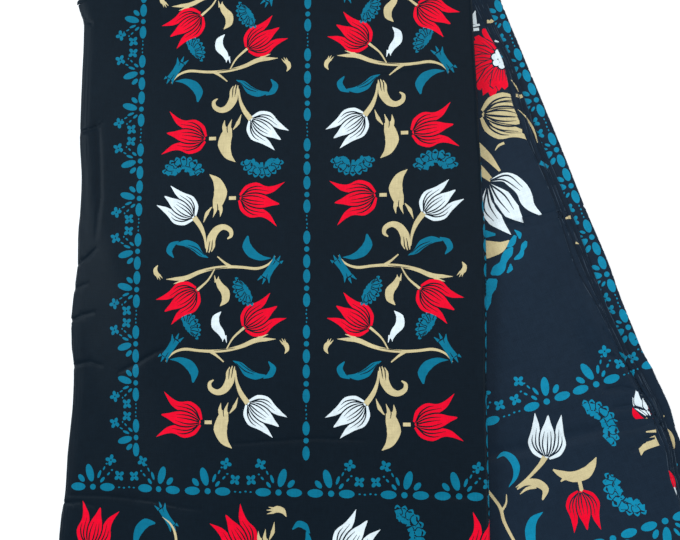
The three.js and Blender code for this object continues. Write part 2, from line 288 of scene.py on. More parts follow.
def spray(leaf_ink):
    """Half of a repeat: three tulips with the leaves, curls and ruffle round them."""
    shapes = placed(tulip(RED, 1.15), (-17, 28), 80) + forked_leaf()
    shapes += placed(tulip(WHITE, 0.25), (26.5, 45), -126, scale=0.93)
    shapes.append(blade(GOLD, [(14.5, 74), (15.6, 64), (19.5, 54), (26, 45)], [0.8, 2.4, 4.2, 5.0], 4))
    shapes += crescent() + teal_curl() + gold_curl() + branch() + torch()
    shapes += placed(claw(), (60, 96), scale=0.75, origin=(60, 96))
    shapes += small_leaf(leaf_ink)
    shapes += placed(tulip(RED, 0.5), (22.5, 112), -57, scale=0.95)
    ruffle_at = (-31, 113) if leaf_ink == WHITE else (-24, 112)
    return shapes + placed(ruffle(3, 19, 6), ruffle_at, -58)


def column(first, last):
    """The column's sprays from one repeat to another, about an axis at x = 0."""
    shapes = []
    for repeat in range(first, last + 1):
        centre = COLUMN_START + COLUMN_STEP * repeat
        shapes += placed(spray(WHITE), (0, centre))
        if repeat > -1:
            shapes += placed(spray(GOLD), (0, centre), 180)
            shapes += placed(ruffle(1), (-37, centre - 6))
            shapes += placed(ruffle(2), (37, centre + 8), 180)
    return shapes


# ---- The dotted borders ------------------------------------------------------------------------
# Teal chains of ovals and dots with a fan of leaves, specks and four-petal flowers beside every
# second link, as on many printed cloths.

LINK = 84.6


def little_flower(x, y, tilt):
    """Four-petal flower with an open heart."""
    shapes = []
    for quarter in range(4):
        angle = math.radians(tilt + 90 * quarter)
        at = (x + 2.8 * math.cos(angle), y + 2.8 * math.sin(angle))
        shapes.append(oval(TEAL, *at, 4.8, 3.5, tilt + 90 * quarter, 10))
    shapes.append(oval(GROUND, x, y, 1.6, 1.3, 20, 6))
    return shapes


def chain_link(size=1.0, spread=1.0, fans=True):
    """One link of a border, its gap centre at the origin, running along x with its fan towards +y."""
    shapes = []

    def leaf(x, y, length, width, tilt=0.0, corners=10):
        shapes.append(oval(TEAL, x * spread, y * size, length * size, width * size, tilt, corners))

    for side in (1, -1):
        leaf(side * 14.1, 0, 12.4, 6.5, 0, 14)
        leaf(side * 35.6, 0, 12.4, 6.5, 0, 14)
        leaf(side * 24.7, 0, 5.0, 4.8)
        leaf(side * 1.9, 0.3 * side, 2.0, 1.5, 0, 6)
        leaf(side * 5.4, 0, 2.0, 1.3, 0, 6)
        if not fans:
            continue
        leaf(side * 27.2, 11.2, 14.6, 6.4, 90 - side * 16, 14)
        leaf(side * 33.4, 6.8, 7.4, 4.3, 90 - side * 42)
        leaf(side * 20.2, 10.2, 7.0, 2.5, 90 + side * 20, 8)
        leaf(side * 17.8, 5.8, 5.4, 2.6, 90 + side * 38, 8)
        leaf(side * 16.8, 15.0, 3.8, 1.5, 90 + side * 26, 6)
        leaf(side * 13.4, 10.6, 3.4, 1.7, 90 + side * 44, 6)
        leaf(side * 11.0, 13.6, 1.9, 1.5, 0, 6)
        leaf(side * 15.0, 18.6, 1.9, 1.5, 0, 6)
        shapes += little_flower(side * 12.0 * spread, 21.6 * size, 20 * side + 8)
        shapes += little_flower(side * 5.6 * spread, 9.2 * size, 45 + 6 * side)
    return shapes


def chain(start, step, count, turn, size=1.0, spread=1.0, fans=True, mirror=False):
    """Links one after another. turn is the direction the chain runs in."""
    shapes = []
    run = (math.cos(math.radians(turn)), math.sin(math.radians(turn)))
    for i in range(count):
        at = (start[0] + run[0] * step * i, start[1] + run[1] * step * i)
        link = chain_link(size, spread, fans)
        if mirror:
            link = [(ink, outline * [1, -1]) for ink, outline in link]
        shapes += placed(link, at, turn)
    return shapes


WIDE_LINK = {"size": 1.12, "spread": 1.285}


# ---- The strip of flowers below the border -----------------------------------------------------
# Past the cross border the same tulips, leaves and ruffles lie sideways in one wide strip.


def sideways_strip(x, y):
    """The strip's flowers for one repeat, from a red tulip near x to the next."""
    def at(dx, dy):
        return (x + dx, y + dy)

    shapes = placed(tulip(RED, 0.9), at(-6, -49), -14)
    shapes += placed(torch(), at(67, -19), 2, True, origin=(-46, 94))
    shapes += placed(crescent(), at(42, -32), 98, origin=(-29, 77))
    shapes += placed(branch(), at(76, -52), -82, origin=(-16, 91))
    shapes += placed(tulip(RED, 0.7), at(142, -46), 33)
    shapes += placed(claw(), at(168, -10), 62, origin=(60, 96))
    shapes += placed(forked_leaf(), at(158, -34), 12, origin=(7, 38))
    shapes += placed(teal_curl(), at(188, -24), 96, origin=(46, 75))
    shapes += placed(gold_curl(), at(206, -62), -70, True, origin=(4, 62))
    shapes += placed(tulip(WHITE, 0.4), at(224, -46), -38)
    shapes.append(blade(GOLD, [at(222, -46), at(212, -56), at(204, -72)], [4.6, 3.4, 1.0], 4))
    shapes += placed(ruffle(4, 34, 14), at(276, -26), -68)
    shapes += placed(small_leaf(GOLD), at(120, -84), 80, origin=(0, 112))
    shapes += placed(tulip(WHITE, 0.4), at(70, -86), 160)
    shapes += placed(tulip(RED, 0.8), at(228, -92), 150)
    return shapes


def painted_highlight_specks(x):
    """Painted highlight: paler specks along a fold at x, for the light that the fold's rim catches."""
    shapes = []
    for i in range(36):
        y = 300 - 19 * i
        length = 7 + 5 * math.sin(i * 2.3)
        speck = [(x, y), (x + 0.4 * math.sin(i), y - length)]
        shapes.append(blade(FOLD_HIGHLIGHT, speck, [0.5, 0.3]))
    return shapes


def front_print():
    """Everything printed on the front leg and over its top fold."""
    shapes = placed(column(-1, 1), (COLUMN_AXIS, 0))
    shapes += placed(column(-1, 1), (2 * CENTRE_LINE - COLUMN_AXIS, 0), mirror=True)
    top = 128.5 + 3 * LINK
    shapes += chain((-187, top), LINK, 7, -90, mirror=True)
    shapes += chain((CENTRE_LINE, top), LINK, 7, -90, fans=False)
    shapes += chain((129.6, top + 0.3 * LINK), LINK, 11, -90)
    shapes += chain((-196, -195), 110, 4, 0, **WIDE_LINK)
    shapes += sideways_strip(-223, -200)
    shapes += sideways_strip(128, -200)
    shapes += placed(ruffle(7), (-262, -222), 90)
    # Painted highlight along the right fold.
    shapes += painted_highlight_specks(126.6)
    shapes += chain((134, -338), 110, 4, 180, **WIDE_LINK)
    return shapes


# ---- The front leg's outer sheet ---------------------------------------------------------------
# One thickness of plain-woven cotton, wax printed, folded over both long edges of the front leg:
# a soft rolled fold at the left, a pressed one at the right. It lies on the table at its lower
# left and on the back leg elsewhere.

# The whole cut, 1143 by 5486 mm, folded in three across and in eight along. All sizes are in mm.
LEG_WIDTH = 1143 / 3
LEG_LENGTH = 5486 / 8
# Heights in the stack: a gap between layers, an outer sheet, an inner layer, and the cloth itself.
GAP = 0.3
SHEET = 1.2
LAYER = 1.1
CLOTH = 0.45
LAYER_COUNT = 5
LEG_HEIGHT = 2 * SHEET + LAYER_COUNT * LAYER + (LAYER_COUNT + 1) * GAP
FRONT_RISE = LEG_HEIGHT + GAP
TURN_RADIUS = (2 * LEG_HEIGHT + GAP) / 2

# The back leg turns off by FAN from the front one. The top fold runs from FOLD_LEFT to FOLD_RIGHT.
FAN = math.radians(19.7)
BACK_ALONG = np.array([math.sin(FAN), -math.cos(FAN)])
BACK_ACROSS = np.array([math.cos(FAN), math.sin(FAN)])
FOLD_LEFT = np.array([-256.0, 268.0])
FOLD_RIGHT = np.array([117.0, 330.0])
FOLD_RUN = (FOLD_RIGHT - FOLD_LEFT) / np.linalg.norm(FOLD_RIGHT - FOLD_LEFT)
FOLD_OUT = np.array([-FOLD_RUN[1], FOLD_RUN[0]])
AXIS_LEFT = FOLD_LEFT - FOLD_OUT * TURN_RADIUS
AXIS_RIGHT = FOLD_RIGHT - FOLD_OUT * TURN_RADIUS
FRONT_END = (FOLD_LEFT[1] + FOLD_RIGHT[1]) / 2 - LEG_LENGTH
BACK_RIGHT = 220.0
BACK_LEFT = BACK_RIGHT - LEG_WIDTH
BACK_END = 381.0

LEFT_ROLL, RIGHT_ROLL = 13.0, 4.0
LEFT_RETURN, RIGHT_RETURN = 3.0, 42.0

# Height on the leg, and where its left and right edges lie there.
EDGE_ROWS = np.array([
    (-388, -259.0, 126.0), (-245, -260.5, 127.5), (-190, -256.0, 127.8), (-100, -251.0, 127.0),
    (-44, -255.3, 128.0), (16, -250.0, 129.0), (88, -246.0, 126.0), (133, -248.5, 123.8),
    (236, -247.5, 120.5), (262, -254.5, 119.0), (330, -256.0, 117.0),
])


def eased(rows, place, column):
    """A table's column at a place between its rows, easing from one row to the next."""
    low = np.clip(np.searchsorted(rows[:, 0], place) - 1, 0, len(rows) - 2)
    share = np.clip((place - rows[low, 0]) / (rows[low + 1, 0] - rows[low, 0]), 0, 1)
    share = share * share * (3 - 2 * share)
    return rows[low, column] * (1 - share) + rows[low + 1, column] * share


def smoothstep(value, start, end):
    """0 up to start, 1 from end on, and a soft rise between."""
    share = np.clip((value - start) / (end - start), 0, 1)
    return share * share * (3 - 2 * share)


def axis_y(x):
    """How high the top fold's axis lies at x."""
    share = (x - AXIS_LEFT[0]) / (AXIS_RIGHT[0] - AXIS_LEFT[0])
    return AXIS_LEFT[1] + (AXIS_RIGHT[1] - AXIS_LEFT[1]) * share


def front_base(x, y):
    """The front leg's underside: on the table, and raised where the back leg lies beneath."""
    past_edge = x * BACK_ACROSS[0] + y * BACK_ACROSS[1] - BACK_LEFT
    return FRONT_RISE * smoothstep(past_edge, -90, -30)


def roll_table(reach, half):
    """Arc length against angle round a half-ellipse, from its top to its bottom."""
    angle = np.linspace(math.pi / 2, -math.pi / 2, 181)
    x, z = reach * np.cos(angle), half * np.sin(angle)
    length = np.concatenate([[0], np.cumsum(np.hypot(np.diff(x), np.diff(z)))])
    return angle, length


def folded(u, low, high, left_roll, right_roll, half):
    """The section of cloth folded under at both sides. Gives x, height, and its outward direction."""
    x = np.array(u, float)
    z = np.full_like(x, 2 * half)
    out_x = np.zeros_like(x)
    out_z = np.ones_like(x)
    for side, start, reach in ((1, high, right_roll), (-1, low, left_roll)):
        angle, length = roll_table(reach, half)
        past = side * (u - start)
        turn = np.interp(past, length, angle)
        on = past > 0
        under = past > length[-1]
        norm = np.hypot(np.cos(turn) / reach, np.sin(turn) / half)
        x = np.where(on, start + side * reach * np.cos(turn), x)
        z = np.where(on, half + half * np.sin(turn), z)
        out_x = np.where(on, side * np.cos(turn) / reach / norm, out_x)
        out_z = np.where(on, np.sin(turn) / half / norm, out_z)
        x = np.where(under, start - side * (past - length[-1]), x)
    return x, z, out_x, out_z


def arc(reach, half):
    """Length of cloth round a half-ellipse."""
    return roll_table(reach, half)[1][-1]


def trough(x, y, points, depth, width):
    """A soft crease along a line of points, deepest in its middle: how far it lowers each place."""
    deepest = np.zeros_like(x)
    spans = len(points) - 1
    for i, ((x0, y0), (x1, y1)) in enumerate(zip(points[:-1], points[1:])):
        run = np.array([x1 - x0, y1 - y0])
        share = ((x - x0) * run[0] + (y - y0) * run[1]) / (run @ run)
        inside = np.clip(share, 0, 1)
        far = np.hypot(x - x0 - run[0] * inside, y - y0 - run[1] * inside)
        gone = (i + inside) / spans
        fade = np.sqrt(np.maximum(4 * gone * (1 - gone), 0))
        deepest = np.maximum(deepest, np.exp(-(far / width) ** 2) * fade)
    return -depth * deepest


def slow_waves(x, y, seed, height, reach):
    """Gentle unevenness that never repeats visibly."""
    total = np.zeros_like(x)
    for i in range(7):
        angle = seed * 1.7 + i * 2.399
        wave = reach * (0.7 + 0.35 * i)
        along = x * math.cos(angle) + y * math.sin(angle)
        total += np.sin(along * 2 * math.pi / wave + seed + i * 1.3)
    return height * total / 3.5


# Each crease: the line it follows, its depth and its width.
FRONT_CREASES = [
    (((-262, -90), (-246, -84), (-234, -82), (-220, -86)), 1.1, 1.9),
    (((-206, -92), (-185, -83), (-170, -74), (-158, -70)), 1.1, 1.9),
    (((-110, -155), (-60, -151), (-20, -148), (24, -149)), 0.8, 1.6),
    (((-256, -203), (-215, -203), (-168, -207), (-120, -212)), 0.8, 1.6),
    (((-230, 146), (-227, 110), (-225, 70), (-228, 30)), 1.1, 2.6),
    (((-276, 136), (-254, 132), (-234, 136), (-222, 142)), 1.0, 1.7),
    (((-276, 2), (-254, 8), (-238, 14), (-226, 24)), 1.1, 1.7),
    (((-276, -22), (-254, -15), (-236, -9)), 0.8, 1.6),
    (((-280, -52), (-258, -45), (-240, -38), (-228, -36)), 1.0, 1.7),
    (((-284, -216), (-262, -211), (-240, -209), (-224, -213)), 1.1, 1.7),
    (((-272, 250), (-252, 245), (-236, 238)), 0.9, 1.7),
    (((134, -190), (104, -196), (60, -193)), 0.5, 2.2),
    (((-10, 184), (40, 180), (90, 187), (124, 183)), 0.5, 2.0),
    (((-236, -330), (-190, -322), (-150, -326)), 0.9, 2.0),
    (((20, -300), (70, -306), (118, -298)), 0.9, 2.0),
    (((-60, 262), (-40, 232), (-34, 200)), 0.6, 3.0),
]


def front_unevenness(x, y):
    """The face's gentle waves with its creases."""
    total = slow_waves(x, y, 2.1, 0.55, 130) + slow_waves(x, y, 5.3, 0.12, 34)
    for points, depth, width in FRONT_CREASES:
        total += trough(x, y, points, depth, width)
    return total


def front_sheet_at(u, v):
    """Where a point of the flat cloth comes to lie on the front leg."""
    low = eased(EDGE_ROWS, v, 1) + LEFT_ROLL
    high = eased(EDGE_ROWS, v, 2) - RIGHT_ROLL
    x, z, out_x, out_z = folded(u, low, high, LEFT_ROLL, RIGHT_ROLL, LEG_HEIGHT / 2)
    streak = 0.28 * np.sin(u * 1.9 + 0.7 * np.sin(v / 21)) * np.sin(v / 47 + u / 9)
    streak = streak * smoothstep(-u, -low, 14 - low)
    rise = (front_unevenness(u, v) + streak) * smoothstep(out_z, -0.3, 0.5)
    rise = np.clip(rise, -1.3, 0.9)
    return np.column_stack([x + out_x * rise, v, z + front_base(x, v) + out_z * rise])


def normals_of(place, u, v):
    """The outward directions of the cloth that place lays out."""
    step = 0.05
    across = place(u + step, v) - place(u - step, v)
    along = place(u, v + step) - place(u, v - step)
    normal = np.cross(across, along)
    return normal / np.maximum(np.linalg.norm(normal, axis=1), 1e-12)[:, None]


# The inks on the front leg, and slightly paler copies on the back leg, whose lighter ground and teal are
# painted sheen for the brighter light on that leg.
INKS = {
    GROUND: (0.0038, 0.0090, 0.0152),
    FOLD_HIGHLIGHT: (0.022, 0.036, 0.054),
    TEAL: (0.002, 0.158, 0.258),
    RED: (0.84, 0.001, 0.024),
    GOLD: (0.61, 0.505, 0.275),
    WHITE: (0.75, 0.83, 0.86),
}
BACK_INKS_PAINTED_SHEEN = {
    **INKS,
    GROUND: (0.0092, 0.0190, 0.0340),
    FOLD_HIGHLIGHT: (0.040, 0.060, 0.085),
    TEAL: (0.004, 0.225, 0.37),
}


def winds_round(points, outline):
    """Which points a closed outline goes round."""
    x, y = points[:, :1], points[:, 1:]
    x0, y0 = outline.T
    x1, y1 = np.roll(outline, -1, axis=0).T
    rise = np.where(y1 == y0, 1e-12, y1 - y0)
    up = (y0 <= y) & (y1 > y)
    down = (y0 > y) & (y1 <= y)
    left = x < x0 + (y - y0) * (x1 - x0) / rise
    return ((up & left).sum(axis=1) - (down & left).sum(axis=1)) != 0


def cut_flat(outline, grid, shapes):
    """Triangles of the flat cloth that follow every printed outline, and each one's ink."""
    points, edges = [], []
    for shape in [outline] + [shape for _, shape in shapes]:
        first, count = len(points), len(shape)
        points += [tuple(p) for p in shape]
        edges += [(first + i, first + (i + 1) % count) for i in range(count)]
    points += [tuple(p) for p in grid]
    flat = [Vector((float(x), float(y))) for x, y in points]
    verts, _, triangles, _, _, _ = delaunay_2d_cdt(flat, edges, [], 0, 1e-4)
    verts, triangles = np.array([tuple(v) for v in verts]), np.array(triangles)
    middles = verts[triangles].mean(axis=1)
    parts = np.array_split(middles, len(middles) // 2000 + 1)
    within = np.concatenate([winds_round(part, outline) for part in parts])
    triangles, middles = triangles[within], middles[within]
    order = np.argsort(middles[:, 1])
    heights = middles[order, 1]
    colours = np.full(len(triangles), GROUND, dtype=object)
    for ink, shape in shapes:
        low, high = shape.min(axis=0), shape.max(axis=0)
        near = order[np.searchsorted(heights, low[1]):np.searchsorted(heights, high[1])]
        near = near[(middles[near, 0] > low[0]) & (middles[near, 0] < high[0])]
        colours[near[winds_round(middles[near], shape)]] = ink
    return verts, triangles, colours


def edge_loop(triangles):
    """The outer edge of a patch of triangles, in order."""
    half_edges = {}
    for a, b, c in triangles:
        for start, end in ((a, b), (b, c), (c, a)):
            half_edges[(start, end)] = True
    following = {s: e for s, e in half_edges if (e, s) not in half_edges}
    first = min(following)
    loop = [first]
    while following[loop[-1]] != first:
        loop.append(following[loop[-1]])
    return loop


# From the drawing's origin to the frame's, found at the lowest sheet's corner.
SHIFT = (
    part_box("back_lowest_sheet")[1][0] * 1000 - BACK_ACROSS[0] * BACK_RIGHT - BACK_ALONG[0] * BACK_END,
    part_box("back_lowest_sheet")[0][1] * 1000 - BACK_ACROSS[1] * BACK_LEFT - BACK_ALONG[1] * BACK_END,
)


def cloth_mesh(name, patches):
    """One object of closed thin shells. Each patch is (outline, grid, shapes, place, palette)."""
    verts, faces, normals, colours, flats = [], [], [], [], []
    for outline, grid, shapes, place, palette in patches:
        flat, triangles, inks = cut_flat(outline, grid, shapes)
        used = np.unique(triangles)
        renumber = -np.ones(len(flat), int)
        renumber[used] = np.arange(len(used))
        flat, triangles = flat[used], renumber[triangles]
        loop = edge_loop([tuple(t) for t in triangles])
        back_flat, back_triangles, _ = cut_flat(flat[loop], grid, [])
        for side, points, tris in ((1, flat, triangles), (-1, back_flat, back_triangles)):
            first = len(verts)
            outward = normals_of(place, points[:, 0], points[:, 1])
            at = place(points[:, 0], points[:, 1]) + (0 if side == 1 else -CLOTH) * outward
            verts += at.tolist()
            for i, tri in enumerate(tris):
                order = tri if side == 1 else tri[::-1]
                faces.append([int(k) + first for k in order])
                colour = palette[inks[i]] if side == 1 else palette[GROUND]
                for k in order:
                    normals.append(side * outward[k])
                    colours.append(colour)
                    flats.append(points[k])
            if side == 1:
                front_first, front_normal = first, outward
            else:
                back_first = first
        for i in range(len(loop)):
            a, b = loop[i], loop[(i + 1) % len(loop)]
            ia, ib = i, (i + 1) % len(loop)
            faces.append([front_first + a, back_first + ia, back_first + ib, front_first + b])
            tangent = np.array(verts[front_first + b]) - np.array(verts[front_first + a])
            rim = np.cross(tangent, front_normal[a])
            rim = rim / max(np.linalg.norm(rim), 1e-12)
            for k in (a, a, b, b):
                normals.append(rim)
                colours.append(palette[GROUND])
                flats.append(flat[k])
    verts = (np.array(verts) + [SHIFT[0], SHIFT[1], 0]) / 1000
    mesh = bpy.data.meshes.new(name)
    mesh.from_pydata(verts.tolist(), [], faces)
    layer = mesh.uv_layers.new(name="weave")
    layer.data.foreach_set("uv", (np.array(flats) / 1000).ravel())
    ink = mesh.color_attributes.new("ink", "FLOAT_COLOR", "CORNER")
    ink.data.foreach_set("color", np.column_stack([np.array(colours), np.ones(len(colours))]).ravel())
    mesh.normals_split_custom_set(np.array(normals).tolist())
    piece = bpy.data.objects.new(name, mesh)
    bpy.context.scene.collection.objects.link(piece)
    return piece


def set_inputs(node, **values):
    """Sets a node's inputs by name, an underscore standing for a space."""
    for name, value in values.items():
        node.inputs[name.replace("_", " ")].default_value = value


def cotton():
    """Plain-woven cotton: the ink, thread by thread a little uneven, with a faint waxy sheen."""
    material = bpy.data.materials.new("printed_cotton")
    material.use_nodes = True
    nodes, links = material.node_tree.nodes, material.node_tree.links
    shader = nodes["Principled BSDF"]
    ink = nodes.new("ShaderNodeAttribute")
    ink.attribute_name = "ink"
    uv = nodes.new("ShaderNodeUVMap")
    uv.uv_map = "weave"

    def noise(stretch, scale, detail=2.0):
        mapping = nodes.new("ShaderNodeMapping")
        set_inputs(mapping, Scale=stretch)
        links.new(uv.outputs["UV"], mapping.inputs["Vector"])
        texture = nodes.new("ShaderNodeTexNoise")
        set_inputs(texture, Scale=scale, Detail=detail)
        links.new(mapping.outputs["Vector"], texture.inputs["Vector"])
        return texture.outputs["Fac"]

    def added(first, second, share):
        node = nodes.new("ShaderNodeMath")
        node.operation = "MULTIPLY_ADD"
        links.new(second, node.inputs[0])
        node.inputs[1].default_value = share
        links.new(first, node.inputs[2])
        return node.outputs[0]

    weft = noise((0.06, 1.0, 1.0), 1400)
    warp = noise((1.0, 0.06, 1.0), 1400)
    mottle = noise((1.0, 1.0, 1.0), 160, 3.0)
    drift = noise((1.0, 1.0, 1.0), 9, 2.0)
    threads = added(weft, warp, 1.0)
    tone = added(added(threads, mottle, 0.9), drift, 0.8)
    spread = nodes.new("ShaderNodeMapRange")
    set_inputs(spread, From_Min=1.3, From_Max=2.4, To_Min=0.8, To_Max=1.2)
    links.new(tone, spread.inputs["Value"])
    shade = nodes.new("ShaderNodeVectorMath")
    shade.operation = "SCALE"
    links.new(ink.outputs["Color"], shade.inputs[0])
    links.new(spread.outputs[0], shade.inputs["Scale"])
    links.new(shade.outputs[0], shader.inputs["Base Color"])
    bump = nodes.new("ShaderNodeBump")
    set_inputs(bump, Strength=0.22, Distance=0.00035)
    links.new(threads, bump.inputs["Height"])
    links.new(bump.outputs["Normal"], shader.inputs["Normal"])
    set_inputs(shader, Roughness=0.46, Specular_IOR_Level=0.055)
    set_inputs(shader, Sheen_Weight=0.02, Sheen_Roughness=0.5, Sheen_Tint=(0.75, 0.88, 1.0, 1.0))
    return material


COTTON = cotton()


def finish_cloth(piece, nodes):
    """Gives a piece its cotton, hangs it from the root body and hides the parts it replaces."""
    piece.data.materials.append(COTTON)
    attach(piece, "root")
    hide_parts(*nodes)


def grid_points(rows, columns_at):
    """Places all over the flat cloth, none exactly in line, so that it can be cut up quickly."""
    points = np.array([(u, v) for v in rows for u in columns_at(v)])
    return points + np.random.default_rng(4).uniform(-0.2, 0.2, points.shape)


def crease_points(creases):
    """More places along each crease, so that both faces of the cloth follow its dip closely."""
    points = []
    for line, _, width in creases:
        for start, end in zip(np.array(line[:-1], float), np.array(line[1:], float)):
            run = end - start
            aside = np.array([-run[1], run[0]]) / np.linalg.norm(run) * width
            for share in np.arange(0, 1, 3.5 / np.linalg.norm(run)):
                points += [start + run * share + aside * k for k in (-1.7, -0.9, 0.0, 0.9, 1.7)]
    return np.array(points) + np.random.default_rng(7).uniform(-0.15, 0.15, (len(points), 2))


LEFT_ARC = arc(LEFT_ROLL, LEG_HEIGHT / 2)
RIGHT_ARC = arc(RIGHT_ROLL, LEG_HEIGHT / 2)


def front_face(v):
    """Where the flat face of the front leg starts and ends at one height."""
    rows = np.array([v])
    low, high = (float(eased(EDGE_ROWS, rows, column)[0]) for column in (1, 2))
    return low + LEFT_ROLL, high - RIGHT_ROLL


def front_ends(v):
    """Where the cloth itself starts and ends there, round both folds and under."""
    low, high = front_face(v)
    return low - LEFT_ARC - LEFT_RETURN, high + RIGHT_ARC + RIGHT_RETURN


def front_columns(v):
    """Places across the cloth, close together round the folds."""
    low, high = front_face(v)
    left = np.linspace(low - LEFT_ARC - LEFT_RETURN + 1, low, 20)[:-1]
    fold = np.linspace(high, high + RIGHT_ARC, 14)
    under = np.linspace(high + RIGHT_ARC + 8, high + RIGHT_ARC + RIGHT_RETURN - 2, 5)
    return np.concatenate([left, np.linspace(low, high, 76)[:-1], fold, under])


def closed(left, bottom, right, top):
    """One outline from its four sides. Left and right run upwards, and top runs back."""
    return np.array([left[0]] + bottom + right + top + left[:0:-1])


def front_sheet():
    """The outer sheet with its print, up to where the top fold begins."""
    rows = np.arange(FRONT_END, 335, 4.6)
    left = [(front_ends(v)[0], v) for v in rows]
    right = [(front_ends(v)[1], v) for v in rows]

    def axis_over(u, v):
        return axis_y(front_sheet_at(np.array([float(u)]), np.array([float(v)]))[0][0])

    def under_fold(u, v):
        return v < axis_over(u, v) - 0.2

    def meet_fold(u):
        v = axis_y(u)
        for _ in range(6):
            v = axis_over(u, v)
        return (u, v)

    left = [p for p in left if under_fold(p[0], p[1] + 3)]
    right = [p for p in right if under_fold(p[0], p[1] + 3)]
    top = [meet_fold(u) for u in front_columns(262.0)[::-1]]
    top = [p for p in top if left[-1][0] < p[0] < right[-1][0]]
    top = [meet_fold(right[-1][0])] + top + [meet_fold(left[-1][0])]
    bottom = [(u, FRONT_END) for u in np.linspace(left[0][0], right[0][0], 110)[1:-1]]
    outline = closed(left, bottom, right, top)
    grid = np.vstack([grid_points(rows[1:], front_columns), crease_points(FRONT_CREASES)])
    grid = grid[grid[:, 1] + 1.7 < axis_y(front_sheet_at(grid[:, 0], grid[:, 1] + 1.5)[:, 0])]
    piece = cloth_mesh("front_sheet", [(outline, grid, front_print(), front_sheet_at, INKS)])
    finish_cloth(piece, ["front_top_sheet"])


front_sheet()

# ---- The front leg's inner layers --------------------------------------------------------------
# The folded thicknesses inside the front leg, the same cotton. They show at the cut end, where
# each stops a little short of the one outside it, and as edges inside the side folds.

# Each layer's underside, how far it ends short of the cut end, and whether it lies between the
# outer sheet's returns.
INNER_LEVELS = [
    (0.0, 4.0, True),
    (1.5, 4.0, False),
    (2.8, 8.0, False),
    (4.1, 8.0, False),
    (5.4, 12.0, False),
    (6.7, 12.0, False),
]


def fold_clamped(u):
    """How high the top fold's axis lies over u, level past both its ends."""
    return axis_y(min(max(u, AXIS_LEFT[0]), AXIS_RIGHT[0]))


def inner_layer(bottom, short, between_returns):
    """One layer inside the front leg, folded under at both sides, as a patch for cloth_mesh."""
    half = LAYER / 2
    middle = bottom + half - LEG_HEIGHT / 2
    squeeze = math.sqrt(1 - (middle / (LEG_HEIGHT / 2)) ** 2)
    bend = arc(half, half)
    fold_under = 24.0

    def sides(v):
        low = eased(EDGE_ROWS, v, 1)
        high = eased(EDGE_ROWS, v, 2)
        if between_returns:
            return low + LEFT_ROLL + 4.2, high - RIGHT_ROLL - RIGHT_RETURN - 1.4
        low = low + LEFT_ROLL * (1 - squeeze) + 2.4 + half
        return low, high - RIGHT_ROLL * (1 - squeeze) - 2.0 - half

    def place(u, v):
        low, high = sides(v)
        x, z, out_x, out_z = folded(u, low, high, half, half, half)
        return np.column_stack([x, v, z + bottom + front_base(x, v)])

    reach = bend + fold_under
    rows = np.arange(FRONT_END + short, 262, 9.0)
    low_rows = [v for v in rows if v < axis_y(-225) - 6]
    left = [(float(sides(np.array([v]))[0][0]) - reach, v) for v in low_rows]
    right = [(float(sides(np.array([v]))[1][0]) + reach, v) for v in low_rows]
    steps = np.linspace(0, 1, 60)
    top = [right[-1][0] + (left[-1][0] - right[-1][0]) * s for s in steps]
    top = [(u, fold_clamped(u) - 1.0) for u in top]
    bottom_row = [(left[0][0] + (right[0][0] - left[0][0]) * s, rows[0]) for s in steps[1:-1]]
    grid = []
    for v in np.arange(rows[0] + 6, 320, 12.0):
        low, high = (float(side[0]) for side in sides(np.array([v])))
        columns = [np.linspace(low - bend, low, 6), np.linspace(low, high, 30)[1:-1]]
        columns.append(np.linspace(high, high + bend, 6))
        grid += [(u, v) for u in np.concatenate(columns) if v < fold_clamped(u) - 4]
    return closed(left, bottom_row, right, top), np.array(grid), [], place, INKS


front_layers = cloth_mesh("front_layers", [inner_layer(*level) for level in INNER_LEVELS])
finish_cloth(front_layers, ["front_inner_layers"])

# ---- The back leg ------------------------------------------------------------------------------
# The cloth's other leg, fanned out to the right under the front one. Its folded layers stop one
# short of the next, so that their edges show side by side, and the lowest one reaches furthest.

# Each layer's node, its right edge, how far that sways and over what length, where the sway
# starts, and how far the layer ends short of the cut end.
BACK_LAYERS = [
    ("back_layer_6", 206.0, 0.9, 210, 0.2, 2.0),
    ("back_layer_5", 203.6, 1.2, 260, 0.7, 5.0),
    ("back_layer_4", 201.0, 0.9, 190, 0.1, 3.0),
    ("back_layer_3", 198.8, 1.2, 240, 0.5, 6.0),
    ("back_layer_2", 196.4, 1.2, 170, 0.8, 4.0),
]
TOP_EDGE = 193.5


def flowers_at(n, t):
    """The back leg's drawings run across and away from the fold, so y is the place along, negated."""
    return (n, -t)


def carnation():
    """Big flower with toothed red petals round a scalloped white heart, opening to -x."""
    shapes = []
    teeth = np.array([(0, -3), (16, -9.5), (33, -11), (36, -7), (33, -4.5), (39, -1), (34, 2), (37, 5.5),
                      (33, 9), (16, 9), (0, 3)], float)
    petal = [(GROUND, teeth * [1.03, 1.12]), (RED, teeth)]
    for y in (-7, -4, -1, 2, 5):
        petal.append(blade(GROUND, [(8, y * 0.35), (18, y), (27, y * 1.3)], [1.1, 0.8, 0.3], 3))
    for angle, reach in ((112, 0.66), (131, 0.88), (153, 1.0), (177, 1.0), (202, 1.0), (224, 0.98),
                         (245, 0.78)):
        shapes += placed(petal, (0, 0), angle, scale=reach)
    lobes = [math.radians(angle) for angle in (98, 146, 196, 246)]
    lobes = [(6.6 * math.cos(angle), 6.6 * math.sin(angle)) for angle in lobes]
    shapes += [oval(GROUND, x, y, 8.6, 8.6) for x, y in lobes]
    shapes += [oval(WHITE, x, y, 6.0, 6.2) for x, y in lobes]
    return shapes + [oval(WHITE, 1.5, 0, 10, 15)]


def big_tulip(ink, veins):
    """A wide open tulip with many veins, its base at the origin."""
    shapes = placed(tulip(ink, 0.8), scale=2.0)
    for i in range(veins):
        lean = (i - (veins - 1) / 2) * 2 / veins
        vein = [(lean * 4, 3), (lean * 22, 18), (lean * 28, 36), (lean * 27, 54)]
        shapes.append(blade(GROUND, vein, [1.6, 1.5, 1.2, 0.4], 4))
    return shapes


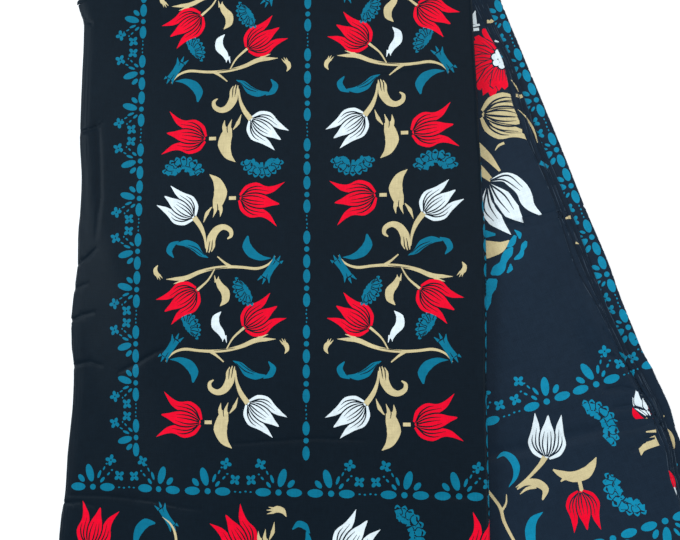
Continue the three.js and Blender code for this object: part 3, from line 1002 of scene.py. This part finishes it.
def broad_petal(ink, spine, wide):
    """One wide petal of the big flower, with a dark edge and two veins."""
    shapes = strokes(
        (GROUND, spine, [3.0, wide + 3.2, wide + 3.2, 0.8]),
        (ink, spine, [1.6, wide, wide, 0.3]),
    )
    line = np.array(spine[:4], float)
    run = line[2] - line[1]
    aside = np.array([-run[1], run[0]]) / np.linalg.norm(run) * wide
    for share in (-0.24, 0.2):
        vein = [line[0], line[1] + aside * share, line[2] + aside * share * 0.7]
        shapes.append(blade(GROUND, vein, [1.6, 1.5, 0.4], 5))
    return shapes


def back_print():
    """Everything printed on the back leg's face."""
    shapes = chain(flowers_at(97.5 - 216, 168.5), 108, 5, 0, **WIDE_LINK)
    shapes += chain(flowers_at(108 + 2 * 109, 293), 109, 5, 180, **WIDE_LINK)
    shapes += placed(tulip(WHITE, 0.2), flowers_at(112, 213), -23, scale=0.98)
    shapes += strokes(
        (GOLD, [(111, -212), (104.5, -217), (91, -224), (78.5, -228)], [5, 3.6, 2.2, 0.6], 4),
        (TEAL, [(72, -200), (79, -198.5), (84, -204), (85, -212), (81, -220), (73, -226)],
         [0.6, 4, 6.6, 6.4, 3.6, 0.5], 4),
        (GOLD, [(79, -230), (88, -227), (97, -230.5), (101.5, -237.5), (96, -245)],
         [1.0, 5, 7, 6, 1.2], 4),
        (GOLD, [(80, -234.5), (87, -232), (95, -233)], [0.6, 2.6, 3.0], 3),
        (GOLD, [(113.5, -224), (118, -229), (127, -235), (138, -235.5), (146, -231), (151.4, -226)],
         [1.2, 5.4, 9, 10, 6, 0.6], 4),
        (GOLD, [(116, -235.5), (121, -234), (128, -237)], [0.8, 3.8, 4.6], 3),
        (GOLD, [(131, -240), (129.5, -250)], [3.2, 3.2]),
    )
    shapes += placed(tulip(RED, 0.35), flowers_at(128.5, 248.5), 169, scale=0.87)
    shapes += placed(ruffle(6, 35, 13), flowers_at(160, 201), -76)
    shapes += placed(ruffle(8, 35, 13), flowers_at(167, 260), 115)
    shapes += strokes(
        (GOLD, [(52, -214), (57, -229), (60, -240), (59, -252), (61, -268), (64, -282)],
         [2.4, 2.6, 2.8, 2.8, 2.4, 2.0], 4),
        (GOLD, [(60, -243), (66, -238), (69, -231)], [2.2, 1.6, 0.6], 3),
        (TEAL, [(92.5, -254.5), (83, -258), (77, -266), (73, -280)], [0.6, 6.5, 9, 7], 4),
    )
    shapes += placed(torch(), flowers_at(40, 216), -80, origin=(-46, 94))
    shapes += placed(tulip(RED, 0.8), flowers_at(10, 226), 20)
    shapes += placed(tulip(WHITE, 0.4), flowers_at(-50, 232), 12)
    shapes += strokes(
        (RED, [(195.6, -197), (195.2, -203), (199, -210), (203, -211.5)], [1, 5, 4.6, 2], 4),
        (RED, [(206.5, -198), (209, -206), (210, -214)], [1, 3.4, 2], 4),
    )
    for wide, petal in (
        (3.8, [(198.3, -189), (198, -197), (203, -207)]),
        (6.6, [(204.6, -182.5), (201, -194), (204.5, -207)]),
        (3.8, [(207, -189), (205.6, -199), (206.5, -208)]),
    ):
        shapes.append(blade(GROUND, petal, [0.4, wide + 1.6, 1.6], 4))
        shapes.append(blade(WHITE, petal, [0.4, wide, 0.6], 4))
    shapes += strokes(
        (GOLD, [(201, -209.5), (203.5, -213.5)], [4.4, 4.2]),
        (GOLD, [(198, -219.5), (206, -221.5)], [1.2, 2.4]),
        (GOLD, [(187, -236.5), (190, -231.5), (196, -229.5), (204, -229)], [0.5, 6, 8, 9], 4),
    )
    shapes += placed(carnation(), (202.5, 131), 0)
    shapes += placed(big_tulip(GOLD, 5), (168, 89), -116, scale=0.66)
    shapes += strokes(
        (GOLD, [(145, 72), (152, 64), (159, 50), (164, 35)], [5, 9.5, 7, 2], 4),
        (GOLD, [(138, 54), (147, 43), (154, 30)], [11, 9, 4], 4),
        (GOLD, [(166.7, 54), (171, 57), (176.5, 57.5)], [0.5, 2.0, 2.4], 3),
    )
    shapes += broad_petal(WHITE, [(148, 25), (142, 9), (145, -5), (152.7, -22)], 13)
    shapes += broad_petal(WHITE, [(151.5, 27), (157, 12.5), (161, -2.5), (167.5, -16)], 15)
    shapes += broad_petal(WHITE, [(153, 30), (167, 27.5), (176, 13), (177, -3), (184.8, -17)], 12)
    shapes += strokes(
        (TEAL, [(150, -33), (141, -39), (134, -46), (124, -49)], [1.5, 8, 7, 5.5, 9, 10, 2]),
        (TEAL, [(127, -55), (120, -58), (114, -66), (107, -76)], [2, 10, 11, 7, 9, 6]),
        (TEAL, [(143, -29.5), (150, -29.5), (156, -24)], [1, 5, 5.5, 2.5], 4),
        (TEAL, [(163, -32), (158, -37), (154, -42), (147.5, -43.5)], [2, 5.5, 3, 4.5, 4.5, 1.5], 4),
        (TEAL, [(143, -46), (141.5, -50), (137.5, -52.5)], [1, 4.5, 1.5], 3),
        (TEAL, [(157, -19), (159.5, -24), (158.5, -28)], [0.6, 4.5, 1.5], 3),
        (GOLD, [(112, -23), (128.5, -27), (140, -29), (149.5, -26)], [13, 16, 10, 0.6], 4),
        (TEAL, [(124, -9), (132, -13.5), (140, -17)], [6, 7, 2], 4),
        (WHITE, [(180, 171), (195, 168)], [2.6, 2.0]),
        (WHITE, [(180, 168), (193, 164.5)], [2.6, 3.0]),
        (WHITE, [(189, 171.5), (192, 176), (196, 182)], [9, 5.5, 0.5], 3),
    )
    shapes.append(oval(RED, 197, 158, 11, 5.4, -85))
    shapes.append(blade(TEAL, [(199, 192), (201, 184), (201, 176)], [3, 4, 2], 3))
    for n in (-90, -10, 70):
        shapes += placed(big_tulip(RED, 6), flowers_at(n, -40), 180)
        shapes += placed(forked_leaf()[:-1], flowers_at(n + 34, -60), 140, scale=1.5, origin=(3, 22))
    return shapes


# What of the print reaches out on to the edges of the layers beneath the face.
BACK_BITS = strokes(
    (GOLD, [(203, 170), (206, 169), (209, 170.5)], [3.4, 2.6, 3.4]),
    (WHITE, [(203, 150), (206, 148)], [2.4, 0.8]),
    (TEAL, [(199, 140), (203, 132)], [4, 2]),
    (GOLD, [(203, 110), (205.5, 103), (206, 98)], [0.4, 1.8, 0.6]),
    (GOLD, [(202, 95), (206, 93.5), (208, 93.5)], [3.2, 3.6, 3.0]),
    (GOLD, [(199, 82), (204, 72), (206, 60), (205, 48)], [0.3, 1.6, 2.0, 0.5]),
    (TEAL, [(200, 30), (206, 24)], [4, 3]),
    (GOLD, [(203, -24), (208, -25)], [2.8, 3.2]),
    (GOLD, [(203, -48), (206, -50)], [2.0, 0.8]),
    (TEAL, [(198, -150), (206, -158)], [8, 6]),
    (TEAL, [(197, -166), (207, -172)], [7, 6]),
    (GOLD, [(204, -220), (207, -222)], [3.0, 1.0]),
    (WHITE, [(201, -212), (206, -214)], [2.0, 0.6]),
    (RED, [(199, -250), (204, -262), (203, -272)], [3, 5, 3]),
    (WHITE, [(203, -270), (202, -277)], [3, 0.6]),
)
BACK_BITS += placed(chain_link(**WIDE_LINK), (205.5, -168.5))


def lowest_print():
    """What shows on the lowest sheet: a border along its edge and a few bits."""
    shapes = chain((218.8, 61.3 + 3 * LINK), LINK, 6, -90, mirror=True)
    shapes += placed(chain_link(**WIDE_LINK), (205.5, -168.5))
    shapes += strokes(
        (GOLD, [(210, -223), (216, -225), (218, -232), (216, -240), (212, -243)],
         [1.6, 3.4, 3.6, 3.2, 1.2], 4),
        (GOLD, [(211.5, -219), (219, -213)], [1.8, 1.2]),
        (WHITE, [(210.5, -229), (213.5, -238)], [4.2, 3.6]),
    )
    return shapes + [oval(TEAL, 213, y, 3.0, 2.0, 40) for y in (-246, -250, -255)]


# Where the layers swell at the edge, how far along and across, and how high.
PUFF_ALONG, PUFF_ACROSS, PUFF_LONG, PUFF_WIDE, PUFF_HIGH = 128, 196, 62, 26, 4.5


def back_start(n):
    """How far along the back leg the top fold's axis crosses it, at n across."""
    left = (AXIS_LEFT @ BACK_ACROSS, AXIS_LEFT @ BACK_ALONG)
    right = (AXIS_RIGHT @ BACK_ACROSS, AXIS_RIGHT @ BACK_ALONG)
    return left[1] + (right[1] - left[1]) * (n - left[0]) / (right[0] - left[0])


def puff(n, t, share):
    """How much the swelling lifts a layer at n across and t along."""
    far = np.hypot((n - PUFF_ACROSS) / PUFF_WIDE, (t - PUFF_ALONG) / PUFF_LONG)
    return PUFF_HIGH * share * (1 - smoothstep(far, 0, 1))


BACK_CREASES = [
    (((146, -10), (180, -18), (207, -21), (224, -25), (250, -31)), 3.0, 3.2),
    (((30, -188), (70, -195), (106, -202), (140, -203), (172, -207), (216, -214)), 2.2, 5.0),
    (((196, -126), (203, -160), (207, -190), (214, -226), (222, -250)), 1.8, 1.8),
    (((176, -176), (192, -178), (206, -186)), 1.4, 2.0),
    (((178, -192), (196, -196), (210, -206)), 1.4, 2.0),
    (((180, -232), (196, -226), (212, -228)), 1.2, 2.2),
    (((186, -146), (198, -152), (208, -160)), 1.0, 1.8),
]


# Place along the leg, and how much further out the lowest and the top layer bulge there.
BACK_SPREAD = np.array([
    (-381, 0.0, 0.0),
    (-330, 2.0, 3.0),
    (-268, 3.0, 7.4),
    (-232, 3.8, 15.6),
    (-206, 6.4, 16.0),
    (-176, 5.0, 12.2),
    (-153, 2.5, 7.0),
    (-112, 2.5, 4.6),
    (-70, 4.0, 2.6),
    (-22, 3.2, 3.6),
    (52, 3.6, 2.6),
    (76, 3.4, 4.2),
    (128, 3.0, 8.7),
    (165, 2.6, 4.0),
    (230, 3.4, 2.0),
    (330, 1.0, 0.0),
])


def painted_highlight_line(edge_at, seed):
    """Painted highlight: a thin broken paler line along the fold at edge_at, for the light that the
    fold's rim catches.
    """
    shapes = []
    for i in range(30):
        start = 300 - i * 22.5
        length = 12 + 9 * math.sin(seed * 3 + i * 2.1)
        places = [start - length * share for share in (0, 0.33, 0.67, 1)]
        spine = [(edge_at(v) + 0.25, v) for v in places]
        wide = 0.45 + 0.3 * math.sin(seed + i * 1.7)
        shapes.append(blade(FOLD_HIGHLIGHT, spine, [0.15, wide, wide, 0.15], 3))
    return shapes


def back_layer(shape, bottom, thickness, lift, shapes, rough, step):
    """One layer of the back leg, folded under at both sides, as a patch for cloth_mesh."""
    edge, sway, wave, start, end = shape
    half = thickness / 2
    fold_under = 30.0
    bend = arc(half, half)

    def sides(v):
        v = np.asarray(v, float)
        swing = sway * np.sin((-v / wave + start) * 2 * math.pi)
        neck = 11 * (1 - smoothstep(-v, -300, -150))
        share = (BACK_RIGHT - edge) / (BACK_RIGHT - TOP_EDGE)
        spill = eased(BACK_SPREAD, v, 1) * (1 - share) + eased(BACK_SPREAD, v, 2) * share
        return BACK_LEFT + neck + end + swing + half, edge + swing + spill - half

    def sides_at(v):
        return [float(side[0]) for side in sides(np.array([float(v)]))]

    def place(u, v):
        n, z, _, out_z = folded(u, *sides(v), half, half, half)
        uneven = slow_waves(n, v, 3.3, 0.5, 120) + slow_waves(n, v, 1.1, 0.1, 30)
        for points, depth, width in BACK_CREASES:
            uneven = uneven + trough(n, v, points, depth, width)
        uneven = np.clip(uneven, -3.0, 0.9) * rough
        t = -v
        z = z + bottom + puff(n, t, lift) + uneven * smoothstep(out_z, -0.4, 0.6)
        x, y = (BACK_ACROSS[axis] * n + BACK_ALONG[axis] * t for axis in (0, 1))
        return np.column_stack([x, y, z])

    def columns(v):
        low, high = sides_at(v)
        return np.concatenate([
            [low - bend - fold_under + 2, low - bend - 10], np.linspace(low - bend, low, 6),
            np.arange(low + step, high - 45, step), np.arange(high - 44, high - 1, 3.0),
            np.linspace(high, high + bend, 7), [high + bend + 10, high + bend + fold_under - 2],
        ])

    def top_of(u, v):
        return -back_start(float(folded(np.array([float(u)]), *sides_at(v), half, half, half)[0][0]))

    def edges(v):
        low, high = sides_at(v)
        return low - bend - fold_under, high + bend + fold_under

    rows = np.arange(-BACK_END + end, 330, 4.6)
    left, right = ([(edges(v)[side], v) for v in rows if v < top_of(edges(v)[side], v) - 3]
                   for side in (0, 1))
    top = [(u, top_of(u, 250.0)) for u in columns(260.0)[::-1] if left[-1][0] < u < right[-1][0]]
    top = [(right[-1][0], top_of(*right[-1]))] + top + [(left[-1][0], top_of(*left[-1]))]
    bottom_row = [(u, rows[0]) for u in np.linspace(left[0][0], right[0][0], 100)[1:-1]]
    # Painted highlight along the layer's right fold.
    shapes = shapes + painted_highlight_line(lambda v: sides_at(v)[1], edge)
    grid = np.vstack([grid_points(rows[1:], columns), crease_points(BACK_CREASES)])
    low, high = sides(grid[:, 1])
    reach = bend + fold_under - 1
    grid = grid[(grid[:, 0] > low - reach) & (grid[:, 0] < high + reach)]
    across = folded(grid[:, 0], *sides(grid[:, 1]), half, half, half)[0]
    grid = grid[grid[:, 1] + 2 < -back_start(across)]
    return closed(left, bottom_row, right, top), grid, shapes, place, BACK_INKS_PAINTED_SHEEN


def back_piece(name, node, shape, bottom, thickness, lift, shapes, rough, step):
    """One layer of the back leg as a finished object. rough is how uneven it is, from 0 to 1."""
    piece = cloth_mesh(name, [back_layer(shape, bottom, thickness, lift, shapes, rough, step)])
    finish_cloth(piece, [node])


back_piece("back_sheet", "back_top_sheet", (TOP_EDGE, 1.6, 150, 0.35, 7.0), LEG_HEIGHT - SHEET, SHEET,
           1.0, back_print(), 1.0, 6.0)
for index, (node, *shape) in enumerate(BACK_LAYERS):
    lift = (index + 1) / (LAYER_COUNT + 1)
    back_piece(node + "_cloth", node, shape, SHEET + GAP + index * (LAYER + GAP), LAYER,
               lift, BACK_BITS, lift, 14.0)
back_piece("back_lowest_cloth", "back_lowest_sheet", (BACK_RIGHT, 0.0, 200, 0.0, 0.0), 0.0, SHEET,
           0.0, lowest_print(), 0.0, 14.0)

# ---- The top fold ------------------------------------------------------------------------------
# Where the whole folded band turns back on itself: the outer sheet goes round in one soft bend,
# fullest in the middle, with the inner layers bent inside it.


def fullness(share):
    """The bend's height by place along it, less full at both ends."""
    near = np.clip(np.minimum(share, 1 - share) / 0.04, 0, 1)
    return 0.72 + 0.28 * np.sqrt(np.maximum(1 - (1 - near) ** 2, 0))


FOLD_SPAN = float(np.linalg.norm(AXIS_RIGHT - AXIS_LEFT))


def turn_patch(radius_inset, span, shapes):
    """A half ring round the fold's axis. Flat, it goes on from the front leg's outer sheet."""
    radius = TURN_RADIUS - radius_inset

    def place(u, v):
        gone = np.column_stack([u, v]) - AXIS_LEFT
        share = np.clip(gone @ FOLD_RUN / FOLD_SPAN, 0, 1)
        angle = math.pi / 2 - (gone @ FOLD_OUT) / radius
        around = TURN_RADIUS * fullness(share) - radius_inset
        uneven = slow_waves(share * 400, angle * 12, 4.0, 0.25, 90) * (1 if radius_inset == 0 else 0)
        around = around + np.clip(uneven, -1, 0.6)
        foot = AXIS_LEFT + np.outer(gone @ FOLD_RUN, FOLD_RUN)
        out = around * np.cos(angle)
        return np.column_stack([foot + np.outer(out, FOLD_OUT), TURN_RADIUS + around * np.sin(angle)])

    def flat(along, past):
        return AXIS_LEFT + FOLD_RUN * along + FOLD_OUT * past

    length = math.pi * radius
    trim = (1 - span) * FOLD_SPAN / 2
    end = FOLD_SPAN - 2 * trim
    alongs = [np.linspace(0, 15, 8), np.linspace(20, end - 20, 60), np.linspace(end - 15, end, 8)]
    alongs = trim + np.concatenate(alongs)
    pasts = np.linspace(0, length, 25)
    outline = [flat(a, 0) for a in alongs] + [flat(alongs[-1], p) for p in pasts[1:-1]]
    outline += [flat(a, length) for a in alongs[::-1]] + [flat(alongs[0], p) for p in pasts[-2:0:-1]]
    grid = np.array([flat(a, p) for a in alongs[1:-1] for p in pasts[1:-1]])
    return np.array(outline), grid, shapes, place, INKS


turn_piece = cloth_mesh("top_fold_sheet", [turn_patch(0.0, 1.0, front_print())])
finish_cloth(turn_piece, ["top_fold_turn"])

# How far inside the outer sheet each inner ring lies, and how much of the fold's length it spans.
RING_INSETS = [1.8, 3.3, 4.8, 6.3, 7.6]
RING_SPAN = 0.985
rings = cloth_mesh("top_fold_rings", [turn_patch(inset, RING_SPAN, []) for inset in RING_INSETS])
finish_cloth(rings, ["top_fold_layers"])

# ---- Table, light and camera -------------------------------------------------------------------
# A plain white table top under soft light from above and a little from the left.

mesh = bpy.data.meshes.new("floor")
HALF_TABLE = 4.0
corners = [(x * HALF_TABLE, y * HALF_TABLE, 0) for x, y in ((-1, -1), (1, -1), (1, 1), (-1, 1))]
mesh.from_pydata(corners, [], [(0, 1, 2, 3)])
floor = bpy.data.objects.new("floor", mesh)
bpy.context.scene.collection.objects.link(floor)
white = bpy.data.materials.new("table_white")
white.use_nodes = True
shader = white.node_tree.nodes["Principled BSDF"]
set_inputs(shader, Base_Color=(0.9, 0.9, 0.9, 1), Roughness=0.9)
set_inputs(shader, Emission_Color=(1, 1, 1, 1), Emission_Strength=0.25)
floor.data.materials.append(white)

world = bpy.data.worlds.new("studio")
world.use_nodes = True
set_inputs(world.node_tree.nodes["Background"], Color=(0.95, 0.97, 1.0, 1), Strength=0.42)
bpy.context.scene.world = world
bpy.context.scene.view_settings.view_transform = "Standard"


def soft_light(name, place, power, size, color=(1, 1, 1)):
    """A square lamp at a place, turned towards the cloth."""
    lamp = bpy.data.lights.new(name, "AREA")
    lamp.color = color
    lamp.energy = power
    lamp.size = size
    holder = bpy.data.objects.new(name, lamp)
    holder.location = place
    holder.rotation_euler = (-Vector(place)).to_track_quat("-Z", "Y").to_euler()
    bpy.context.scene.collection.objects.link(holder)


soft_light("window", (-1.7, 0.5, 1.2), 30, 0.9, (0.8, 0.92, 1.0))
soft_light("fill", (1.8, -0.3, 0.9), 14, 0.9, (0.8, 0.92, 1.0))
soft_light("ceiling", (0.3, 0.9, 2.4), 22, 1.6)

LOOK_AT = np.array([SHIFT[0], SHIFT[1], 2 * TURN_RADIUS]) / 1000
TILT, SIDE, DISTANCE = math.radians(8.5), math.radians(50), 0.712
back_vector = np.array([math.sin(SIDE), -math.cos(SIDE), 0]) * math.sin(TILT)
back_vector[2] = math.cos(TILT)
up = np.array([0, 1.0, 0]) - back_vector * back_vector[1]
up /= np.linalg.norm(up)
right = np.cross(-back_vector, up)
data = bpy.data.cameras.new("camera")
data.lens = 42.35
data.sensor_width = 36
data.clip_start = 0.01
camera = bpy.data.objects.new("camera", data)
camera.matrix_world = Matrix([
    [right[i], up[i], back_vector[i], LOOK_AT[i] + back_vector[i] * DISTANCE] for i in range(3)
] + [[0, 0, 0, 1]])
bpy.context.scene.collection.objects.link(camera)
bpy.context.scene.camera = camera
